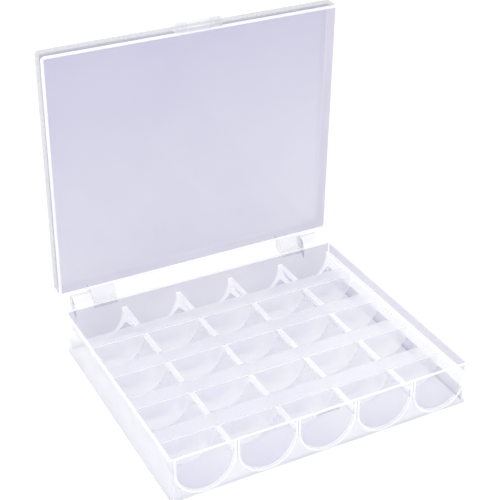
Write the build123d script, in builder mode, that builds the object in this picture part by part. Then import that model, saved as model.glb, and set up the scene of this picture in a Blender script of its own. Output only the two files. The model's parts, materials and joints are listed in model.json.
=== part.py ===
from build123d import *
import math
import os

# Bobbin box: two clear polystyrene mouldings, a base with 25 pockets and a lid on two pegged hinges.
# The lid stands open. X runs along the front, +Y is the hinge side and Z is up from the table.
# Each moulding is written as its named features, which meet face to face.

# Outer shell, shared by the base and the lid
box_width = 122.0
box_depth = 102.0
base_height = 18.0
lid_height = 7.0
wall = 1.2
corner_radius = 1.6
rim_gap = 0.2
base_centre_y = -5.17  # puts the origin under the middle of the open box
inner_width = box_width - 2 * wall
inner_depth = box_depth - 2 * wall
inner_corner_radius = corner_radius - wall
front_y = base_centre_y - box_depth / 2
rear_y = base_centre_y + box_depth / 2

# Pockets: five columns of half-round troughs, cut into five rows by hollow cross dividers
columns = 5
rows = 5
column_pitch = inner_width / columns
pocket_radius = 10.85
floor_thickness = 1.05
floor_lift = 0.15  # the troughs hang just clear of the table
deck_height = 13.4  # tops of the ridges and the dividers
pocket_length = 14.12
divider_width = (inner_depth - rows * pocket_length) / (rows - 1)
divider_sheet = 1.1
pocket_centre_z = floor_lift + floor_thickness + pocket_radius
# Under each ridge the two troughs part along flatter arcs, which leave a narrow void
void_top = 6.0
void_half_gap = 0.3
land_half_width = 0.4  # a flat along the lowest line of each trough
slot_half_width = 8.9

# Hinges: a lid lug with a peg on its outer side, beside a base lug with the hole
hinge_offset = 4.1  # from the rear walls to the hinge axis
axis_y = rear_y + hinge_offset
axis_z = base_height + rim_gap + 0.25
eye_radius = 2.8
peg_radius = 1.0
peg_clearance = 0.06
lid_lug_inner_x = 38.0
lid_lug_outer_x = 48.0
lug_gap = 0.3
base_lug_outer_x = 56.0
lug_foot_bottom = 12.0
lug_foot_top = 17.4
lug_foot_depth = 0.4
heel_gap = 0.1  # the open lid's heel rests on the rear wall
heel_top = 0.4
lid_foot_near = 0.2
lid_foot_far = 4.6

# The open lid leans a little towards the front. Its pieces are drawn upright, with the rim facing
# the front and the rear edge just above the hinge axis, and are then turned about that axis.
open_lean = 2.0  # degrees
hinge_axis = Axis((0, axis_y, axis_z), (1, 0, 0))
rim_y = axis_y - (axis_z - base_height - rim_gap)
lid_outer_y = rim_y + lid_height
lid_bottom_z = axis_z + hinge_offset
lid_top_z = lid_bottom_z + box_depth
lid_centre_z = lid_bottom_z + box_depth / 2
lid_edge_fillet = 0.6

# Latch: a finger tab on the lid's front wall, which laps over the base and clips under a rib
latch_half_width = 9.1
latch_proud = 4.8
latch_root_proud = 2.4
latch_root_depth = 3.2  # from the lid's outer face
latch_overlap = 2.4  # past the rim
hook_gap = 0.75
hook_half_width = 4.5
bead_radius = 0.3
bead_centre = 0.3  # back from the tab's tip
core_width = 3.3
core_height = 3.0
core_depth = 3.0
core_offset = 6.85
rib_height = 1.0
rib_proud = 0.35
rib_drop = 0.6  # from the rim to the top of the rib

os.makedirs("parts", exist_ok=True)


def save(part, name):
    part.label = name
    export_step(part, f"parts/{name}.step")


def save_leaning(part, name):
    save(part.rotate(hinge_axis, open_lean), name)


def base_plane(z):
    return Plane((0, base_centre_y, z))


def front_section(y):
    """A plane facing the front, with x along the box and its own y upwards."""
    return Plane(origin=(0, y, 0), x_dir=(1, 0, 0), z_dir=(0, -1, 0))


def side_section(x):
    """A plane facing +X, with the box's y and z as its own x and y."""
    return Plane(origin=(x, 0, 0), x_dir=(0, 1, 0), z_dir=(1, 0, 0))


def lid_plane(y):
    """A plane facing the rear, centred on the upright lid."""
    return Plane(origin=(0, y, lid_centre_z), x_dir=(-1, 0, 0), z_dir=(0, 1, 0))


def column_x(column):
    return (column - (columns - 1) / 2) * column_pitch


def divider_y(divider):
    return base_centre_y + (divider - (rows - 2) / 2) * (pocket_length + divider_width)


# Base: the outer wall, open above and below
with BuildPart() as outer_wall:
    with BuildSketch(base_plane(0)):
        RectangleRounded(box_width, box_depth, corner_radius)
        RectangleRounded(inner_width, inner_depth, inner_corner_radius, mode=Mode.SUBTRACT)
    extrude(amount=base_height)
save(outer_wall.part, "outer_wall")

# Base: five troughs from the front wall to the rear wall, each with half of the ridge at its sides
void_half_span = column_pitch / 2 - void_half_gap
void_arc_span = void_half_span - land_half_width
void_arc_drop = void_top - floor_lift
void_arc_radius = (void_arc_span**2 + void_arc_drop**2) / (2 * void_arc_drop)
void_arc_turn = math.degrees(math.asin(void_arc_span / void_arc_radius))
void_arc_centre_z = floor_lift + void_arc_radius
half_pitch = column_pitch / 2
for column in range(columns):
    x = column_x(column)
    with BuildPart() as trough:
        with BuildSketch(front_section(rear_y - wall)):
            with BuildLine():
                Polyline(
                    (x - void_half_span, void_top),
                    (x - half_pitch, void_top),
                    (x - half_pitch, deck_height),
                    (x - pocket_radius, deck_height),
                    (x - pocket_radius, pocket_centre_z),
                )
                CenterArc((x, pocket_centre_z), pocket_radius, 180, 180)
                Polyline(
                    (x + pocket_radius, pocket_centre_z),
                    (x + pocket_radius, deck_height),
                    (x + half_pitch, deck_height),
                    (x + half_pitch, void_top),
                    (x + void_half_span, void_top),
                )
                CenterArc((x + land_half_width, void_arc_centre_z), void_arc_radius, 270, void_arc_turn)
                Line((x + land_half_width, floor_lift), (x - land_half_width, floor_lift))
                CenterArc((x - land_half_width, void_arc_centre_z), void_arc_radius, 270, -void_arc_turn)
            make_face()
        extrude(amount=inner_depth)
        # The outermost troughs follow the rounded corners of the outer wall
        with BuildSketch(base_plane(0)):
            RectangleRounded(inner_width, inner_depth, inner_corner_radius)
        extrude(amount=base_height, mode=Mode.INTERSECT)
        for divider in range(rows - 1):
            y = divider_y(divider)
            # The divider's plate is let into the ridges
            with BuildSketch(Plane((x, y, deck_height))):
                Rectangle(column_pitch, divider_width)
            extrude(amount=-divider_sheet, mode=Mode.SUBTRACT)
            # Under the divider the trough is open to below
            with BuildSketch(Plane((x, y, 0))):
                Rectangle(2 * slot_half_width, divider_width - 2 * divider_sheet)
            extrude(amount=pocket_centre_z, mode=Mode.SUBTRACT)
    save(trough.part, f"trough_{column + 1}")

# Base: four cross dividers, each a plate with a pair of half-round walls in every trough
divider_plate_z = deck_height - divider_sheet
for divider in range(rows - 1):
    y = divider_y(divider)
    with BuildPart() as cross_divider:
        with BuildSketch(front_section(y + divider_width / 2)):
            for column in range(columns):
                with Locations((column_x(column), pocket_centre_z)):
                    Circle(pocket_radius)
            with Locations((0, deck_height)):
                Rectangle(inner_width, base_height, align=(Align.CENTER, Align.MIN), mode=Mode.SUBTRACT)
            with Locations((0, divider_plate_z)):
                Rectangle(inner_width, divider_sheet, align=(Align.CENTER, Align.MIN))
            for column in range(columns):
                with Locations((column_x(column), pocket_centre_z)):
                    Rectangle(2 * pocket_radius, divider_sheet, align=(Align.CENTER, Align.MIN))
        extrude(amount=divider_width)
        with BuildSketch(Plane((0, y, 0))):
            Rectangle(inner_width, divider_width - 2 * divider_sheet)
        extrude(amount=divider_plate_z, mode=Mode.SUBTRACT)
    save(cross_divider.part, f"cross_divider_{divider + 1}")

# Base: the catch rib, just under the front rim
with BuildPart() as catch_rib:
    rib_top = base_height - rib_drop
    with BuildSketch(side_section(-hook_half_width)):
        with BuildLine():
            Polyline((front_y, rib_top - rib_height), (front_y, rib_top))
            ThreePointArc(
                (front_y, rib_top),
                (front_y - rib_proud, rib_top - rib_height / 2),
                (front_y, rib_top - rib_height),
            )
        make_face()
    extrude(amount=2 * hook_half_width)
save(catch_rib.part, "catch_rib")

# Base: the outer half of each hinge
base_lug_inner_x = lid_lug_outer_x + lug_gap
base_lug_width = base_lug_outer_x - base_lug_inner_x
for side, start_x in (("left", -base_lug_outer_x), ("right", base_lug_inner_x)):
    with BuildPart() as base_lug:
        with BuildSketch(side_section(start_x)):
            with Locations((axis_y, axis_z)):
                Circle(eye_radius)
            with Locations((rear_y, lug_foot_bottom)):
                Rectangle(lug_foot_depth, lug_foot_top - lug_foot_bottom, align=(Align.MIN, Align.MIN))
            make_hull()
            with Locations((axis_y, axis_z)):
                Circle(peg_radius + peg_clearance, mode=Mode.SUBTRACT)
        extrude(amount=base_lug_width)
    save(base_lug.part, f"base_hinge_lug_{side}")

# Lid: the flat panel
with BuildPart() as lid_panel:
    with BuildSketch(lid_plane(lid_outer_y - wall)):
        RectangleRounded(box_width, box_depth, corner_radius)
    extrude(amount=wall)
    fillet(lid_panel.faces().sort_by(Axis.Y)[-1].edges(), radius=lid_edge_fillet)
save_leaning(lid_panel.part, "lid_panel")

# Lid: the wall around the panel
with BuildPart() as lid_wall:
    with BuildSketch(lid_plane(rim_y)):
        RectangleRounded(box_width, box_depth, corner_radius)
        RectangleRounded(inner_width, inner_depth, inner_corner_radius, mode=Mode.SUBTRACT)
    extrude(amount=lid_height - wall)
save_leaning(lid_wall.part, "lid_wall")

# Lid: the latch, a tab with two cored ends and a bead on the inner side of its middle
latch_tip_y = rim_y - latch_overlap
with BuildPart() as lid_latch:
    with BuildSketch(side_section(-latch_half_width)):
        with BuildLine():
            Polyline(
                (lid_outer_y - latch_root_depth, lid_top_z),
                (lid_outer_y - latch_root_depth, lid_top_z + latch_root_proud),
                (latch_tip_y, lid_top_z + latch_proud),
                (latch_tip_y, lid_top_z + hook_gap),
                (rim_y, lid_top_z + hook_gap),
                (rim_y, lid_top_z),
                close=True,
            )
        make_face()
    extrude(amount=2 * latch_half_width)
    with BuildSketch(front_section(latch_tip_y)):
        with Locations((0, lid_top_z + (hook_gap + latch_proud) / 2)):
            with GridLocations(2 * core_offset, 0, 2, 1):
                Rectangle(core_width, core_height)
    extrude(amount=-core_depth, mode=Mode.SUBTRACT)
    with BuildSketch(side_section(-hook_half_width)):
        with Locations((latch_tip_y + bead_centre, lid_top_z + hook_gap)):
            Circle(bead_radius)
    extrude(amount=2 * hook_half_width)
save_leaning(lid_latch.part, "lid_latch")

# Lid: the inner half of each hinge, with the heel that stops the lid upright, and its peg
lid_lug_width = lid_lug_outer_x - lid_lug_inner_x
peg_length = base_lug_outer_x - lid_lug_outer_x - lug_gap
for side, start_x in (("left", -lid_lug_outer_x), ("right", lid_lug_inner_x)):
    with BuildPart() as lid_lug:
        with BuildSketch(side_section(start_x)):
            with Locations((axis_y, axis_z)):
                Circle(eye_radius)
            with Locations((axis_y - lid_foot_near, lid_bottom_z)):
                Rectangle(lid_foot_near + lid_foot_far, lug_foot_depth, align=(Align.MIN, Align.MAX))
            make_hull()
            with Locations((axis_y, axis_z - heel_top)):
                Rectangle(hinge_offset - heel_gap, eye_radius - heel_top, align=(Align.MAX, Align.MAX))
        extrude(amount=lid_lug_width)
    save_leaning(lid_lug.part, f"lid_hinge_lug_{side}")

for side, start_x in (("left", -lid_lug_outer_x - peg_length), ("right", lid_lug_outer_x)):
    with BuildPart() as hinge_peg:
        with BuildSketch(side_section(start_x)):
            with Locations((axis_y, axis_z)):
                Circle(peg_radius)
        extrude(amount=peg_length)
    save_leaning(hinge_peg.part, f"hinge_peg_{side}")
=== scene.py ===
"""Looks of the bobbin box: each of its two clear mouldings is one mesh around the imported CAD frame."""

import json
import math

import bmesh
import bpy
from mathutils import Matrix, Vector


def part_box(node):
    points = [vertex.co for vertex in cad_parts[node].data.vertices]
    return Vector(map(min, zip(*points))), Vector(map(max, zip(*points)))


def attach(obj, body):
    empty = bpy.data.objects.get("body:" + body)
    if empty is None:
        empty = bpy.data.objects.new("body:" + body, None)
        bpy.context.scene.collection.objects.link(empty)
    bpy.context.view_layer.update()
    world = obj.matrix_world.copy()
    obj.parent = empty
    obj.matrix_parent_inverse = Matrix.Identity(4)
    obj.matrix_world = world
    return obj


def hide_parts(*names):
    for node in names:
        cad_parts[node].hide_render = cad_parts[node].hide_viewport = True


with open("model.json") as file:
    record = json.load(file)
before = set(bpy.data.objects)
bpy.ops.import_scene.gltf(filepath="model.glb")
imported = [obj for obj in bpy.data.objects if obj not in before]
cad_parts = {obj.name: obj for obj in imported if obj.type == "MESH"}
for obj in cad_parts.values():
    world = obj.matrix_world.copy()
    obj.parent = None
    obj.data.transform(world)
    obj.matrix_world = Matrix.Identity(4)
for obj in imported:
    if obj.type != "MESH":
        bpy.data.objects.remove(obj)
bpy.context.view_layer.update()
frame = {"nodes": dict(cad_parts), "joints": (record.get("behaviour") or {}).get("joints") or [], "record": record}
scene = bpy.context.scene

MM = 0.001

# Sizes that the boxes of the CAD nodes don't give, as in the part's own driving dimensions
POCKET_RADIUS = 10.85 * MM
DIVIDER_SHEET = 1.1 * MM
SLOT_HALF_WIDTH = 8.9 * MM
VOID_TOP = 6.0 * MM
VOID_HALF_GAP = 0.3 * MM
LAND_HALF_WIDTH = 0.4 * MM
CORNER_RADIUS = 1.6 * MM
CORNER_STEPS = 5
LID_HEIGHT = 7.0 * MM
RIM_GAP = 0.2 * MM  # between the rims of the shut box
EDGE_ROUND = 0.22 * MM
CORE_CENTRE = 6.85 * MM  # the two square recesses in the latch
CORE_HALF_WIDTH = 1.65 * MM
EMBED = 0.3 * MM  # how far a lug or a rib runs into the wall that it grows from
LUG_FOOT_TOP = 17.4 * MM  # where a base lug's foot ends on the rear wall
EYE_RADIUS = 1.06 * MM
LID_LUG_RADIUS = 2.8 * MM
LID_LUG_FOOT = (0.2 * MM, 4.6 * MM)  # how far a lid lug's foot reaches to each side of the axis
LID_LUG_FOOT_DROP = 0.4 * MM
HEEL_GAP = 0.1 * MM  # between a lid lug's heel and the rear wall
HEEL_DROP = 0.4 * MM  # from the axis down to the top of the heel
HEEL_INSET = 0.01 * MM  # keeps the heel's sides off the lug's
LATCH_GAP = 0.75 * MM
LATCH_PROUD = 4.8 * MM
LATCH_REACH = 2.4 * MM  # past the lid's rim
LATCH_BACK = 3.2 * MM  # from the lid's outer face to the back of the latch
LATCH_BACK_HEIGHT = 2.4 * MM
CORE_HALF_HEIGHT = 1.5 * MM
CORE_DEPTH = 3.0 * MM
CORE_TAPER = 0.9
BEAD_RADIUS = 0.3 * MM
BEAD_HALF_LENGTH = 4.5 * MM
LID_OUTER_ROUND = 0.7 * MM
LID_INNER_ROUND = 0.5 * MM
LID_RIM_ROUND = 0.25 * MM
LEAST_CORNER = 0.25 * MM
OUTLINE_TOLERANCE = 0.1 * MM  # a face this far outside the lid's outline belongs to the latch or a lug
RIM_BAND = 0.3 * MM
OUTER_EDGE_BAND = 0.75 * MM
PANEL_AREA = 20 * LID_HEIGHT**2  # only the panel's two faces are larger
# Material places on each moulding, all one clear plastic with a tint per place: the rims and ridge tops lighter as
# painted highlight, and the base's inner walls, the pocket floors and the lid's panel and walls darker as painted
# shade. DETAIL is the base's pocket floors, and the lid's latch and lugs.
BODY, INNER, OUTER, PAINTED_HIGHLIGHT, FRONT, DETAIL = range(6)

BOXES = {name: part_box(name) for name in frame["nodes"]}
shell_low, shell_high = BOXES["outer_wall"]
trough_low, trough_high = BOXES["trough_1"]
WALL = trough_low.x - shell_low.x
COLUMN_PITCH = trough_high.x - trough_low.x
FLOOR_LIFT = trough_low.z
DECK = trough_high.z
COLUMNS = [name for name in frame["nodes"] if name.startswith("trough_")]
DIVIDERS = sorted(name for name in frame["nodes"] if name.startswith("cross_divider_"))
POCKET_FLOOR = BOXES[DIVIDERS[0]][0].z
POCKET_CENTRE = POCKET_FLOOR + POCKET_RADIUS
BASE_NODES = list(frame["record"]["behaviour"]["bodies"]["base"])
LID_NODES = list(frame["record"]["behaviour"]["bodies"]["lid"])
HINGE = Vector(frame["joints"][0]["pos_m"])
OPEN_ANGLE = math.radians(frame["joints"][0]["range_deg"][1])

# The lid is built upright over the hinges, and then leans as far as it opens short of a right angle
LID_BOTTOM = HINGE.z + HINGE.y - shell_high.y
LID_TOP = LID_BOTTOM + shell_high.y - shell_low.y
LID_RIM = HINGE.y - (HINGE.z - shell_high.z - RIM_GAP)
LID_OUTER = LID_RIM + LID_HEIGHT


# ---------- mesh helpers ----------

def new_object(name, mesh):
    obj = bpy.data.objects.new(name, mesh)
    scene.collection.objects.link(obj)
    return obj


def mesh_from(name, vertices, faces):
    mesh = bpy.data.meshes.new(name)
    mesh.from_pydata(vertices, [], faces)
    mesh.validate()
    solid = bmesh.new()
    solid.from_mesh(mesh)
    bmesh.ops.remove_doubles(solid, verts=solid.verts, dist=1e-6)
    bmesh.ops.recalc_face_normals(solid, faces=solid.faces)
    solid.to_mesh(mesh)
    solid.free()
    return mesh


def apply_modifiers(obj):
    graph = bpy.context.evaluated_depsgraph_get()
    mesh = bpy.data.meshes.new_from_object(obj.evaluated_get(graph))
    obj.modifiers.clear()
    obj.data = mesh


def combine(target, tool, operation):
    """Boolean of tool on target; the tool is then gone."""
    step = target.modifiers.new(operation, "BOOLEAN")
    step.operation = operation
    step.solver = "EXACT"
    step.object = tool
    bpy.context.view_layer.update()
    apply_modifiers(target)
    bpy.data.objects.remove(tool)


def round_marked_edges(obj, width, segments=2):
    step = obj.modifiers.new("round", "BEVEL")
    step.limit_method = "WEIGHT"
    step.width = width
    step.segments = segments
    step.use_clamp_overlap = False
    apply_modifiers(obj)


def mark_edges(obj, wanted):
    """Gives bevel weight 1 to each sharp edge for which wanted(a, b) is true."""
    solid = bmesh.new()
    solid.from_mesh(obj.data)
    layers = solid.edges.layers.float
    weights = layers.get("bevel_weight_edge") or layers.new("bevel_weight_edge")
    for edge in solid.edges:
        if len(edge.link_faces) == 2 and edge.calc_face_angle(0) > math.radians(40):
            a, b = edge.verts
            edge[weights] = 1.0 if wanted(a.co, b.co) else 0.0
    solid.to_mesh(obj.data)
    solid.free()


def smooth(obj, angle=32):
    obj.data.shade_smooth()
    obj.data.set_sharp_from_angle(angle=math.radians(angle))


def prism(name, outline, start_x, end_x):
    """A solid with the outline (y, z) that runs along X."""
    count = len(outline)
    vertices = [(start_x, y, z) for y, z in outline] + [(end_x, y, z) for y, z in outline]
    faces = [tuple(range(count)), tuple(range(2 * count - 1, count - 1, -1))]
    faces += [(i, (i + 1) % count, count + (i + 1) % count, count + i) for i in range(count)]
    return new_object(name, mesh_from(name, vertices, faces))


def circle_points(y, z, radius, steps=40):
    turns = [2 * math.pi * i / steps for i in range(steps)]
    return [(y + radius * math.cos(t), z + radius * math.sin(t)) for t in turns]


def hull_outline(points):
    """The convex outline around some (y, z) points, anticlockwise."""
    points = sorted(set(points))

    def half(run):
        chain = []
        for p in run:
            while len(chain) > 1 and (
                (chain[-1][0] - chain[-2][0]) * (p[1] - chain[-2][1])
                - (chain[-1][1] - chain[-2][1]) * (p[0] - chain[-2][0])
            ) <= 0:
                chain.pop()
            chain.append(p)
        return chain[:-1]

    return half(points) + half(points[::-1])


# ---------- the base ----------

def void_arc():
    """Half-span, radius and centre height of the two arcs that rise from the land under a trough."""
    span = COLUMN_PITCH / 2 - VOID_HALF_GAP
    reach = span - LAND_HALF_WIDTH
    drop = VOID_TOP - FLOOR_LIFT
    radius = (reach**2 + drop**2) / (2 * drop)
    return span, radius, FLOOR_LIFT + radius


def column_offsets():
    """Places across one column: along the pocket's arc by equal angles, and then over the ridge."""
    slot_angle = math.asin(SLOT_HALF_WIDTH / POCKET_RADIUS)
    inner = [slot_angle * (i / 9) for i in range(10)]
    outer = [slot_angle + (math.pi / 2 - slot_angle) * (i / 5) for i in range(1, 6)]
    span, _, _ = void_arc()
    over = [POCKET_RADIUS * math.sin(a) for a in inner + outer]
    over += [(POCKET_RADIUS + span) / 2, span, COLUMN_PITCH / 2]
    return [-d for d in over[:0:-1]] + over


def levels(offset):
    """Six heights at a place across a column: table, underside, pocket floor, plate, deck, rim."""
    span, radius, centre = void_arc()
    d = abs(offset)
    run = max(d - LAND_HALF_WIDTH, 0.0)
    under = centre - math.sqrt(radius**2 - run**2) if d < span else VOID_TOP
    floor = POCKET_CENTRE
    if d < POCKET_RADIUS:
        floor -= math.sqrt(POCKET_RADIUS**2 - d**2)
    return [shell_low.z, under, floor, DECK - DIVIDER_SHEET, DECK, shell_high.z]


def corner_offsets():
    """Places within a corner's square, measured from its inner side, dense enough for a round corner."""
    return [CORNER_RADIUS * math.tan(math.pi / 4 * i / CORNER_STEPS) for i in range(CORNER_STEPS)]


def base_lattice():
    """x lines with their layers, and y lines, from which the base's cells are made."""
    xs = {}
    for column in range(len(COLUMNS)):
        middle = trough_low.x + COLUMN_PITCH * (column + 0.5)
        for offset in column_offsets():
            xs[round(middle + offset, 7)] = levels(offset)
    for sign in (-1, 1):
        edge_column = sign * (len(COLUMNS) - 1) / 2 * COLUMN_PITCH
        for step in corner_offsets():
            x = sign * (shell_high.x - CORNER_RADIUS + step)
            offset = x - edge_column
            if abs(offset) > COLUMN_PITCH / 2:
                offset = COLUMN_PITCH / 2
            xs.setdefault(round(x, 7), levels(offset))
        xs[round(sign * shell_high.x, 7)] = levels(COLUMN_PITCH / 2)
    ys = {shell_low.y, shell_low.y + WALL, shell_high.y - WALL, shell_high.y}
    for name in DIVIDERS:
        low, high = BOXES[name]
        ys |= {low.y, low.y + DIVIDER_SHEET, high.y - DIVIDER_SHEET, high.y}
    for step in corner_offsets():
        ys |= {shell_low.y + CORNER_RADIUS - step, shell_high.y - CORNER_RADIUS + step}
    return sorted(xs.items()), sorted(round(y, 7) for y in ys)


def filled(x, layer, y):
    """Whether the base has plastic at a cell, named by its middle and its layer."""
    if abs(x) > shell_high.x - WALL or not shell_low.y + WALL < y < shell_high.y - WALL:
        return True
    if layer in (0, 4):
        return False
    offset = abs((x - trough_low.x) % COLUMN_PITCH - COLUMN_PITCH / 2)
    if offset > POCKET_RADIUS:
        return True
    for name in DIVIDERS:
        low, high = BOXES[name]
        if low.y + DIVIDER_SHEET < y < high.y - DIVIDER_SHEET:
            return layer == 3 or (layer == 1 and offset > SLOT_HALF_WIDTH)
        if low.y < y < high.y:
            return True
    return layer == 1


def rounded_place(x, y):
    """Bends the square corners of the lattice into round ones."""
    middle_y = (shell_low.y + shell_high.y) / 2
    reach_x = abs(x) - (shell_high.x - CORNER_RADIUS)
    reach_y = abs(y - middle_y) - ((shell_high.y - shell_low.y) / 2 - CORNER_RADIUS)
    if reach_x <= 0 or reach_y <= 0:
        return x, y
    shrink = max(reach_x, reach_y) / math.hypot(reach_x, reach_y)
    x -= math.copysign(reach_x * (1 - shrink), x)
    y -= math.copysign(reach_y * (1 - shrink), y - middle_y)
    return x, y


def base_shell():
    x_lines, y_lines = base_lattice()
    middles_x = [(a[0] + b[0]) / 2 for a, b in zip(x_lines, x_lines[1:])]
    middles_y = [(a + b) / 2 for a, b in zip(y_lines, y_lines[1:])]
    solid = {
        (i, k, j)
        for i, x in enumerate(middles_x)
        for k in range(5)
        for j, y in enumerate(middles_y)
        if filled(x, k, y)
    }
    index, vertices, faces = {}, [], []

    def vertex(i, k, j):
        if (i, k, j) not in index:
            x, heights = x_lines[i]
            place = rounded_place(x, y_lines[j])
            index[i, k, j] = len(vertices)
            vertices.append((*place, heights[k]))
        return index[i, k, j]

    sides = (
        ((-1, 0, 0), ((0, 0, 0), (0, 0, 1), (0, 1, 1), (0, 1, 0))),
        ((1, 0, 0), ((1, 0, 0), (1, 1, 0), (1, 1, 1), (1, 0, 1))),
        ((0, -1, 0), ((0, 0, 0), (1, 0, 0), (1, 0, 1), (0, 0, 1))),
        ((0, 1, 0), ((0, 1, 0), (0, 1, 1), (1, 1, 1), (1, 1, 0))),
        ((0, 0, -1), ((0, 0, 0), (0, 1, 0), (1, 1, 0), (1, 0, 0))),
        ((0, 0, 1), ((0, 0, 1), (1, 0, 1), (1, 1, 1), (0, 1, 1))),
    )
    for i, k, j in sorted(solid):
        for (di, dk, dj), corners in sides:
            if (i + di, k + dk, j + dj) not in solid:
                faces.append([vertex(i + a, k + b, j + c) for a, b, c in corners])
    return new_object("base_moulding", mesh_from("base_moulding", vertices, faces))


def base_hinge_lug(side):
    low, high = BOXES[f"base_hinge_lug_{side}"]
    _, axis_y, axis_z = HINGE
    eye = high.y - axis_y
    foot = [(shell_high.y - EMBED, low.z), (shell_high.y - EMBED, LUG_FOOT_TOP)]
    lug = prism("lug", hull_outline(circle_points(axis_y, axis_z, eye) + foot), low.x, high.x)
    hole = prism("hole", circle_points(axis_y, axis_z, EYE_RADIUS, 28), low.x - MM, high.x + MM)
    combine(lug, hole, "DIFFERENCE")
    return lug


def catch_rib():
    low, high = BOXES["catch_rib"]
    middle = (low.z + high.z) / 2
    half = (high.z - low.z) / 2
    turns = [math.pi / 2 + math.pi * i / 10 for i in range(11)]
    arc = [(high.y + (high.y - low.y) * math.cos(t), middle + half * math.sin(t)) for t in turns]
    back = [(high.y + EMBED, low.z), (high.y + EMBED, high.z)]
    return prism("rib", arc + back, low.x, high.x)


def base_place(face):
    """Which material a face of the base takes."""
    (x, y, z), normal = face.center, face.normal
    outward = normal.x * x + normal.y * (y - (shell_low.y + shell_high.y) / 2) > 0
    inside_x = shell_high.x - abs(x)
    inside_y = min(y - shell_low.y, shell_high.y - y)
    tolerance = 0.02 * MM
    offset = (x - trough_low.x) % COLUMN_PITCH - COLUMN_PITCH / 2
    plates = [BOXES[name] for name in DIVIDERS]
    over_plate = any(a.y + EDGE_ROUND < y < b.y - EDGE_ROUND for a, b in plates)
    over_ridge = abs(offset) > POCKET_RADIUS - EDGE_ROUND and not over_plate
    upward = normal.z > 0.1
    # Rim and ridge-top faces take the lighter material: painted highlight.
    if upward and shell_high.z - z < EDGE_ROUND:
        return PAINTED_HIGHLIGHT
    if upward and abs(z - DECK) < EDGE_ROUND:
        return PAINTED_HIGHLIGHT if over_ridge or (normal.z < 0.99 and not over_plate) else BODY
    if inside_y < tolerance and abs(normal.y) > 0.9:
        return FRONT
    if inside_x < tolerance:
        return OUTER
    if outward and 0 < max(inside_x, inside_y) < CORNER_RADIUS:
        return OUTER
    # The walls' inner faces take a darker lavender tint: painted shade.
    if min(inside_x, inside_y) < WALL + tolerance:
        return INNER
    # The pocket floors take a tint that darkens towards their bottoms: painted shade.
    near_arc = abs(math.hypot(offset, z - POCKET_CENTRE) - POCKET_RADIUS) < 0.3 * MM
    if near_arc and abs(normal.y) < 0.5 and z < POCKET_CENTRE:
        return DETAIL
    return BODY


def make_base():
    base = base_shell()
    deck_band = 0.05 * MM

    def shows(a, b):
        """Edges along the rim, the ridges and the dividers' plates."""
        at_rim = min(a.z, b.z) > shell_high.z - deck_band
        on_deck = abs(a.z - DECK) < deck_band and abs(b.z - DECK) < deck_band
        return at_rim or on_deck

    mark_edges(base, shows)
    round_marked_edges(base, EDGE_ROUND)
    for side in ("left", "right"):
        combine(base, base_hinge_lug(side), "UNION")
    combine(base, catch_rib(), "UNION")
    smooth(base)
    base.data.materials.clear()
    for face in base.data.polygons:
        face.material_index = base_place(face)
    return base


# ---------- the lid ----------

def rounded_ring(inset, depth):
    """The lid's outline, moved in by inset, at a depth from its outer face. Rings match point for point."""
    radius = max(CORNER_RADIUS - inset, LEAST_CORNER)
    points = []
    corners = (
        (shell_high.x, LID_TOP, 0),
        (shell_low.x, LID_TOP, 1),
        (shell_low.x, LID_BOTTOM, 2),
        (shell_high.x, LID_BOTTOM, 3),
    )
    for x, z, quarter in corners:
        centre_x = x - math.copysign(inset + radius, x)
        centre_z = z - math.copysign(inset + radius, z - (LID_TOP + LID_BOTTOM) / 2)
        for i in range(2 * CORNER_STEPS + 1):
            t = math.pi / 2 * (quarter + i / (2 * CORNER_STEPS))
            x_out, z_out = radius * math.cos(t), radius * math.sin(t)
            points.append((centre_x + x_out, LID_OUTER - depth, centre_z + z_out))
    return points


def quarter_turn(steps):
    """Sine and cosine at even steps from 0 to 90 degrees."""
    turns = [math.pi / 2 * i / steps for i in range(steps + 1)]
    return [(math.sin(t), math.cos(t)) for t in turns]


def lid_profile():
    """(inset, depth) pairs: the outer face's edge, down the wall, round the rim, up to the inner face."""
    profile = [(LID_OUTER_ROUND * (1 - up), LID_OUTER_ROUND * (1 - out)) for up, out in quarter_turn(4)]
    for up, out in quarter_turn(2):
        profile.append((LID_RIM_ROUND * (1 - out), LID_HEIGHT - LID_RIM_ROUND * (1 - up)))
    for up, out in quarter_turn(2):
        profile.append((WALL - LID_RIM_ROUND * (1 - up), LID_HEIGHT - LID_RIM_ROUND * (1 - out)))
    for up, out in quarter_turn(3):
        profile.append((WALL + LID_INNER_ROUND * (1 - out), WALL + LID_INNER_ROUND * (1 - up)))
    return profile


def lid_shell():
    rings = [rounded_ring(inset, depth) for inset, depth in lid_profile()]
    count = len(rings[0])
    vertices = [p for ring in rings for p in ring]
    faces = [tuple(range(count)), tuple(range(len(vertices) - 1, len(vertices) - count - 1, -1))]
    for r in range(len(rings) - 1):
        for i in range(count):
            j = (i + 1) % count
            faces.append((r * count + i, (r + 1) * count + i, (r + 1) * count + j, r * count + j))
    return new_object("lid_moulding", mesh_from("lid_moulding", vertices, faces))


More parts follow.
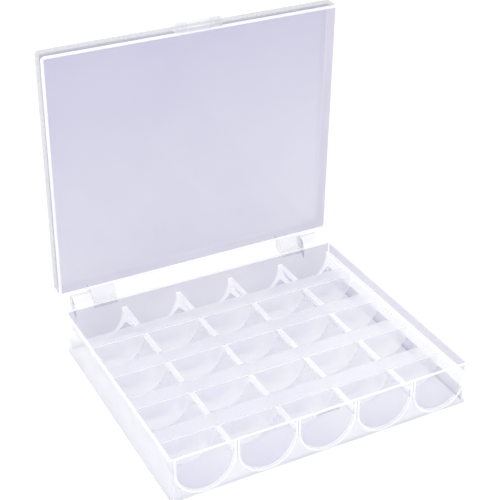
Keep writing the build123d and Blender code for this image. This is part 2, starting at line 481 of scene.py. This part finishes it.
def lid_latch():
    low, high = BOXES["lid_latch"]
    tip = LID_RIM - LATCH_REACH
    back = LID_OUTER - LATCH_BACK
    outline = [
        (back, LID_TOP - EMBED),
        (back, LID_TOP + LATCH_BACK_HEIGHT),
        (tip, LID_TOP + LATCH_PROUD),
        (tip, LID_TOP + LATCH_GAP),
        (LID_RIM, LID_TOP + LATCH_GAP),
        (LID_RIM + EMBED, LID_TOP - EMBED),
    ]
    latch = prism("latch", outline, low.x, high.x)
    middle = LID_TOP + (LATCH_GAP + LATCH_PROUD) / 2
    core = [
        (tip - MM, middle - CORE_HALF_HEIGHT),
        (tip - MM, middle + CORE_HALF_HEIGHT),
        (tip + CORE_DEPTH, middle + CORE_HALF_HEIGHT * CORE_TAPER),
        (tip + CORE_DEPTH, middle - CORE_HALF_HEIGHT * CORE_TAPER),
    ]
    for centre in (-CORE_CENTRE, CORE_CENTRE):
        recess = prism("core", core, centre - CORE_HALF_WIDTH, centre + CORE_HALF_WIDTH)
        combine(latch, recess, "DIFFERENCE")
    bead = circle_points(tip + BEAD_RADIUS, LID_TOP + LATCH_GAP, BEAD_RADIUS, 16)
    combine(latch, prism("bead", bead, -BEAD_HALF_LENGTH, BEAD_HALF_LENGTH), "UNION")
    return latch


def lid_hinge_lug(side):
    low, high = BOXES[f"lid_hinge_lug_{side}"]
    peg_low, peg_high = BOXES[f"hinge_peg_{side}"]
    near, far = HINGE.y - LID_LUG_FOOT[0], HINGE.y + LID_LUG_FOOT[1]
    foot = [(y, z) for z in (LID_BOTTOM + EMBED, LID_BOTTOM - LID_LUG_FOOT_DROP) for y in (near, far)]
    outline = hull_outline(circle_points(HINGE.y, HINGE.z, LID_LUG_RADIUS) + foot)
    lug = prism("lid_lug", outline, low.x, high.x)
    heel_y = shell_high.y + HEEL_GAP
    heel_top, heel_foot = HINGE.z - HEEL_DROP, HINGE.z - LID_LUG_RADIUS
    heel = [(HINGE.y, heel_foot), (HINGE.y, heel_top), (heel_y, heel_top), (heel_y, heel_foot)]
    combine(lug, prism("heel", heel, low.x + HEEL_INSET, high.x - HEEL_INSET), "UNION")
    peg_start, peg_end = peg_low.x, peg_high.x
    if side == "left":
        peg_end += EMBED
    else:
        peg_start -= EMBED
    peg = circle_points(HINGE.y, HINGE.z, (peg_high.z - peg_low.z) / 2, 28)
    combine(lug, prism("peg", peg, peg_start, peg_end), "UNION")
    return lug


def lid_place(face):
    """Which material a face of the lid takes, while the lid stands upright."""
    x, y, z = face.center
    inside = min(shell_high.x - abs(x), z - LID_BOTTOM, LID_TOP - z)
    if inside < -OUTLINE_TOLERANCE:
        return DETAIL
    # The lid's rim takes the lighter material: painted highlight.
    if y < LID_RIM + RIM_BAND:
        return PAINTED_HIGHLIGHT
    # The rounded outer edge takes a darker grey: painted shade.
    if y > LID_OUTER - OUTER_EDGE_BAND and abs(face.normal.y) < 0.95:
        return FRONT
    if face.area > PANEL_AREA:
        return BODY
    # The lid's inner and outer wall faces take darker lavender-grey tints: painted shade.
    return OUTER if inside < 0.7 * WALL else INNER


def make_lid():
    lid = lid_shell()
    combine(lid, lid_latch(), "UNION")
    for side in ("left", "right"):
        combine(lid, lid_hinge_lug(side), "UNION")
    lid.data.materials.clear()
    for face in lid.data.polygons:
        face.material_index = lid_place(face)
    lean = Matrix.Rotation(math.pi / 2 - OPEN_ANGLE, 4, "X")
    lid.data.transform(Matrix.Translation(HINGE) @ lean @ Matrix.Translation(-HINGE))
    smooth(lid)
    return lid


# ---------- materials ----------

def wire(tree, output, socket):
    tree.links.new(output, socket)


def noise(tree, place, scale, detail=2.0):
    node = tree.nodes.new("ShaderNodeTexNoise")
    node.inputs["Scale"].default_value = scale
    node.inputs["Detail"].default_value = detail
    wire(tree, place, node.inputs["Vector"])
    return node.outputs["Fac"]


def spread(tree, value, low, high, start=0.3, end=0.7):
    """Maps a value between start and end onto low to high."""
    node = tree.nodes.new("ShaderNodeMapRange")
    node.inputs["From Min"].default_value = start
    node.inputs["From Max"].default_value = end
    node.inputs["To Min"].default_value = low
    node.inputs["To Max"].default_value = high
    wire(tree, value, node.inputs["Value"])
    return node.outputs["Result"]


def blend_colors(tree, share, first, second):
    node = tree.nodes.new("ShaderNodeMix")
    node.data_type = "RGBA"
    wire(tree, share, node.inputs["Factor"])
    for socket, colour in ((node.inputs[6], first), (node.inputs[7], second)):
        if isinstance(colour, tuple):
            socket.default_value = (*colour, 1.0)
        else:
            wire(tree, colour, socket)
    return node.outputs[2]


def math_node(tree, operation, *values):
    node = tree.nodes.new("ShaderNodeMath")
    node.operation = operation
    for socket, value in zip(node.inputs, values):
        if isinstance(value, (int, float)):
            socket.default_value = value
        else:
            wire(tree, value, socket)
    return node.outputs["Value"]


def add(tree, first, second, share=0.5):
    """first plus a share of second."""
    return math_node(tree, "MULTIPLY_ADD", second, share, first)


def axis_of(tree, place, letter):
    split = tree.nodes.new("ShaderNodeSeparateXYZ")
    wire(tree, place, split.inputs["Vector"])
    return split.outputs[letter]


def mix_shaders(tree, share, first, second):
    node = tree.nodes.new("ShaderNodeMixShader")
    if isinstance(share, float):
        node.inputs["Fac"].default_value = share
    else:
        wire(tree, share, node.inputs["Fac"])
    wire(tree, first, node.inputs[1])
    wire(tree, second, node.inputs[2])
    return node.outputs["Shader"]


def painted_arc_highlights(tree, place):
    """Painted highlight: 1 where the end of a trough meets the front or rear wall, drawn as a white arc in place
    of the bright edge-on plastic seen through the wall.
    """
    split = tree.nodes.new("ShaderNodeSeparateXYZ")
    wire(tree, place, split.inputs["Vector"])
    along = math_node(tree, "SUBTRACT", split.outputs["X"], trough_low.x)
    in_column = math_node(tree, "FLOORED_MODULO", along, COLUMN_PITCH)
    offset = math_node(tree, "SUBTRACT", in_column, COLUMN_PITCH / 2)
    above = math_node(tree, "SUBTRACT", split.outputs["Z"], POCKET_CENTRE)
    height = math_node(tree, "MINIMUM", above, 0.0)
    square = math_node(tree, "MULTIPLY_ADD", offset, offset, math_node(tree, "MULTIPLY", height, height))
    away = math_node(tree, "SUBTRACT", math_node(tree, "SQRT", square), POCKET_RADIUS + 0.5 * MM)
    return spread(tree, math_node(tree, "ABSOLUTE", away), 1.0, 0.0, 0.3 * MM, 0.75 * MM)


def milky_plastic(name, clear, milk, haze, grazing, along=None, wave=0.03, painted_arcs=0.0):
    """Clear polystyrene with milk in it, thin enough to see straight through, under a glossy, wavy skin.

    clear is the tint of what shows through at the two places given by along, milk is the haze's two tints, and
    haze is its share at those two places. grazing is the share that a slanting look adds. along is an axis and two
    places on it, and here it carries painted shade that darkens from one to the other. Without it, clear and haze
    vary in broad patches. The last argument adds haze as a painted highlight: white arcs where the troughs meet
    the front and rear walls.
    """
    material = bpy.data.materials.new(name)
    material.use_nodes = True
    tree = material.node_tree
    tree.nodes.remove(tree.nodes["Principled BSDF"])
    place = tree.nodes.new("ShaderNodeTexCoord").outputs["Object"]
    broad = noise(tree, place, 28.0, 4.0)
    fine = noise(tree, place, 900.0)
    if along:
        run = spread(tree, axis_of(tree, place, along[0]), 0.0, 1.0, along[1], along[2])
        drift = add(tree, run, spread(tree, broad, -1.0, 1.0), 0.12)
    else:
        drift = spread(tree, broad, 0.0, 1.0)
    bump = tree.nodes.new("ShaderNodeBump")
    bump.inputs["Strength"].default_value = wave
    bump.inputs["Distance"].default_value = 0.3 * MM
    wire(tree, noise(tree, place, 160.0, 1.0), bump.inputs["Height"])

    through = tree.nodes.new("ShaderNodeBsdfTransparent")
    wire(tree, blend_colors(tree, drift, *clear), through.inputs["Color"])
    lit = tree.nodes.new("ShaderNodeBsdfDiffuse")
    glow = tree.nodes.new("ShaderNodeBsdfTranslucent")
    tint = blend_colors(tree, spread(tree, broad, 0.0, 1.0), *milk)
    for haze_part in (lit, glow):
        wire(tree, tint, haze_part.inputs["Color"])
        wire(tree, bump.outputs["Normal"], haze_part.inputs["Normal"])
    share = spread(tree, drift, haze[0], haze[1], 0.0, 1.0)
    share = add(tree, share, spread(tree, fine, -1.0, 1.0), 0.006)
    slant = tree.nodes.new("ShaderNodeLayerWeight")
    slant.inputs["Blend"].default_value = 0.35
    share = add(tree, share, slant.outputs["Facing"], grazing)
    # Painted highlight: extra white haze in arcs where the troughs meet the front and rear walls.
    if painted_arcs:
        share = add(tree, share, painted_arc_highlights(tree, place), painted_arcs)
    milky = mix_shaders(tree, 0.5, lit.outputs["BSDF"], glow.outputs["BSDF"])
    body = mix_shaders(tree, share, through.outputs["BSDF"], milky)
    gloss = tree.nodes.new("ShaderNodeBsdfGlossy")
    wire(tree, spread(tree, add(tree, broad, fine), 0.04, 0.14, 0.4, 1.1), gloss.inputs["Roughness"])
    wire(tree, bump.outputs["Normal"], gloss.inputs["Normal"])
    fresnel = tree.nodes.new("ShaderNodeFresnel")
    fresnel.inputs["IOR"].default_value = 1.5
    wire(tree, bump.outputs["Normal"], fresnel.inputs["Normal"])
    skin = mix_shaders(tree, fresnel.outputs["Fac"], body, gloss.outputs["BSDF"])
    leaving = tree.nodes.new("ShaderNodeBsdfTransparent")
    side = tree.nodes.new("ShaderNodeNewGeometry").outputs["Backfacing"]
    whole = mix_shaders(tree, side, skin, leaving.outputs["BSDF"])
    wire(tree, whole, tree.nodes["Material Output"].inputs["Surface"])
    return material


def floor_material():
    material = bpy.data.materials.new("pale_floor")
    material.use_nodes = True
    shader = material.node_tree.nodes["Principled BSDF"]
    shader.inputs["Base Color"].default_value = (0.93, 0.93, 0.93, 1.0)
    shader.inputs["Roughness"].default_value = 0.9
    return material


# ---------- the stage ----------

BOUNCES = 48  # enough for light to cross all the sheets of the tray
TRANSPARENT_BOUNCES = 64


def aim(obj, target):
    obj.rotation_euler = (Vector(target) - obj.location).to_track_quat("-Z", "Y").to_euler()


def area_light(name, place, target, size, power):
    """A soft square light of a size in metres and a power in watts."""
    light = bpy.data.lights.new(name, "AREA")
    light.shape = "SQUARE"
    light.size = size
    light.energy = power
    obj = bpy.data.objects.new(name, light)
    scene.collection.objects.link(obj)
    obj.location = place
    aim(obj, target)


def make_camera():
    """The photograph's viewing angle: 27 degrees round to the left and 30 up, from under half a metre."""
    azimuth, elevation, distance = math.radians(-27.424), math.radians(30.446), 0.455581
    target = Vector((0.001132, 0.005811, 0.050295))
    camera = bpy.data.cameras.new("camera")
    camera.lens = 87.08
    camera.sensor_width = 36.0
    camera.clip_start = 0.01
    obj = bpy.data.objects.new("camera", camera)
    scene.collection.objects.link(obj)
    flat = math.cos(elevation)
    obj.location = target + distance * Vector(
        (math.sin(azimuth) * flat, -math.cos(azimuth) * flat, math.sin(elevation))
    )
    aim(obj, target)
    scene.camera = obj


def make_stage():
    world = bpy.data.worlds.new("studio")
    scene.world = world
    world.use_nodes = True
    world.node_tree.nodes["Background"].inputs["Color"].default_value = (1.0, 1.0, 1.0, 1.0)
    world.node_tree.nodes["Background"].inputs["Strength"].default_value = 1.18
    side = 3.0
    corners = [(-side, -side, 0), (side, -side, 0), (side, side, 0), (-side, side, 0)]
    floor = new_object("floor", mesh_from("floor", corners, [(0, 1, 2, 3)]))
    floor.data.materials.append(floor_material())
    area_light("key", (-0.5, -0.3, 0.9), (0, 0, 0.03), 0.6, 2)
    scene.view_settings.view_transform = "Standard"
    for kind in ("max", "diffuse", "glossy", "transmission"):
        setattr(scene.cycles, f"{kind}_bounces", BOUNCES)
    scene.cycles.transparent_max_bounces = TRANSPARENT_BOUNCES


base = make_base()
lid = make_lid()
WHITE = (1.0, 1.0, 1.0)
MILK = ((0.97, 0.97, 1.0), WHITE)
# Painted highlight: the rims and ridge tops take heavy white haze so they look lighter than the rest.
edges = milky_plastic("edges_painted_highlight", MILK, MILK, (0.8, 0.9), 0.1)
base_places = {
    BODY: milky_plastic(
        "milky_cells", ((0.98, 0.98, 0.99), (0.99, 0.99, 1.0)), MILK, (0.3, 0.38), 0.3),
    # Darker lavender tint and less haze on the walls' inner faces: painted shade.
    INNER: milky_plastic(
        "base_wall_inside_painted_shade", ((0.62, 0.61, 0.7), (0.68, 0.67, 0.75)), MILK, (0.05, 0.08), 0.1),
    OUTER: milky_plastic(
        "base_wall_outside", ((0.93, 0.93, 0.96), (0.96, 0.96, 0.98)), MILK, (0.26, 0.34), 0.2),
    PAINTED_HIGHLIGHT: edges,
    # The outer faces of the front and rear walls carry white arcs where the troughs meet them: painted highlight.
    FRONT: milky_plastic(
        "base_wall_front_painted_arcs", ((0.97, 0.97, 0.99), WHITE), MILK, (0.08, 0.12), 0.2, painted_arcs=0.6),
    # Darker towards the pocket bottoms: painted shade in the recesses.
    DETAIL: milky_plastic(
        "pocket_floor_painted_shade", ((0.78, 0.78, 0.87), (0.92, 0.92, 0.96)), MILK, (0.1, 0.2), 0.15,
        ("Z", POCKET_FLOOR, DECK)),
}
lid_places = {
    # The panel's lavender-grey is partly the plastic's own tint and partly painted shade, and it darkens towards
    # the lid's top as painted shade.
    BODY: milky_plastic(
        "lid_panel", ((0.636, 0.627, 0.714), (0.508, 0.494, 0.636)),
        ((0.8, 0.8, 0.9), (0.84, 0.84, 0.92)), (0.08, 0.05), 0.1, ("Z", LID_BOTTOM, LID_TOP)),
    # The lid's inner and outer wall faces and its rounded outer edge take darker lavender-grey tints by face:
    # painted shade.
    INNER: milky_plastic(
        "lid_wall_inside_painted_shade", ((0.57, 0.55, 0.66), (0.62, 0.61, 0.705)), MILK, (0.04, 0.08), 0.1),
    OUTER: milky_plastic(
        "lid_wall_outside_painted_shade", ((0.52, 0.52, 0.57), (0.58, 0.58, 0.63)), MILK, (0.12, 0.18), 0.1),
    PAINTED_HIGHLIGHT: edges,
    FRONT: milky_plastic(
        "lid_outer_edge_painted_shade", ((0.55, 0.55, 0.585), (0.6, 0.6, 0.64)), MILK, (0.15, 0.2), 0.0),
    DETAIL: milky_plastic(
        "lid_latch_and_lugs", ((0.74, 0.74, 0.78), (0.8, 0.8, 0.84)), MILK, (0.25, 0.32), 0.1),
}
for piece, places in ((base, base_places), (lid, lid_places)):
    for place in range(max(places) + 1):
        piece.data.materials.append(places[place])
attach(base, "base")
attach(lid, "lid")
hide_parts(*BASE_NODES)
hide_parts(*LID_NODES)
make_camera()
make_stage()
